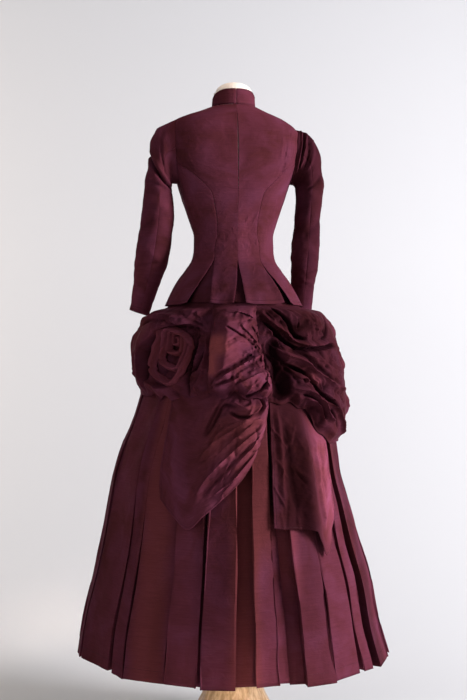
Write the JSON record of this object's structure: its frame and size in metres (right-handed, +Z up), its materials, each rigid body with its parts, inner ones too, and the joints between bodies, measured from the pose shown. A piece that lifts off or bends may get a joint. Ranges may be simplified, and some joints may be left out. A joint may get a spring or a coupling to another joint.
{
  "type": "bustle dress on a dress form",
  "caption": "Silk bustle dress of the 1880s on a limbless dress form: fitted long-sleeved bodice, draped overskirt with rosette and tails, and pleated skirt over a turned wooden foot.",
  "frame": {"origin": "centre of the wooden foot's flat underside, on the floor", "axes": "+Z up along the pole, -Y towards the back of the dress with its bustle, +X towards the wearer's right"},
  "size_m": [0.7832, 0.6878, 1.6273],
  "materials": {
    "burgundy_taffeta": "crisp burgundy silk taffeta, two-toned, with a soft sheen and a fine cross rib",
    "ivory_jersey": "matte ivory knitted cover, drawn smooth over the form",
    "waxed_beech": "turned beech, waxed, low sheen",
    "dark_steel_tube": "black painted steel tube"
  },
  "bodies": {
    "root": {"bodice_back_left": "burgundy_taffeta", "bodice_back_right": "burgundy_taffeta", "bodice_side_back_left": "burgundy_taffeta", "bodice_side_back_right": "burgundy_taffeta", "bodice_side_left": "burgundy_taffeta", "bodice_side_right": "burgundy_taffeta", "bodice_front_left": "burgundy_taffeta", "bodice_front_right": "burgundy_taffeta", "peplum_pleat_left": "burgundy_taffeta", "peplum_pleat_centre": "burgundy_taffeta", "peplum_pleat_right": "burgundy_taffeta", "collar_left": "burgundy_taffeta", "collar_right": "burgundy_taffeta", "button_01": "burgundy_taffeta", "button_02": "burgundy_taffeta", "button_03": "burgundy_taffeta", "button_04": "burgundy_taffeta", "button_05": "burgundy_taffeta", "button_06": "burgundy_taffeta", "button_07": "burgundy_taffeta", "button_08": "burgundy_taffeta", "button_09": "burgundy_taffeta", "button_10": "burgundy_taffeta", "button_11": "burgundy_taffeta", "sleeve_upper_left": "burgundy_taffeta", "sleeve_under_left": "burgundy_taffeta", "sleeve_upper_right": "burgundy_taffeta", "sleeve_under_right": "burgundy_taffeta", "skirt_waistband": "burgundy_taffeta", "overskirt_waistband": "burgundy_taffeta", "skirt_breadth_1": "burgundy_taffeta", "skirt_breadth_2": "burgundy_taffeta", "skirt_breadth_3": "burgundy_taffeta", "skirt_breadth_4": "burgundy_taffeta", "skirt_breadth_5": "burgundy_taffeta", "skirt_breadth_6": "burgundy_taffeta", "skirt_breadth_7": "burgundy_taffeta", "skirt_breadth_8": "burgundy_taffeta", "apron_front": "burgundy_taffeta", "pannier_left": "burgundy_taffeta", "centre_drape": "burgundy_taffeta", "pannier_right": "burgundy_taffeta", "rosette_left": "burgundy_taffeta", "tail_left": "burgundy_taffeta", "tail_right": "burgundy_taffeta", "form_torso": "ivory_jersey", "form_neck_cap": "ivory_jersey", "stand_foot": "waxed_beech", "stand_pole": "dark_steel_tube"}
  },
  "joints": []
}
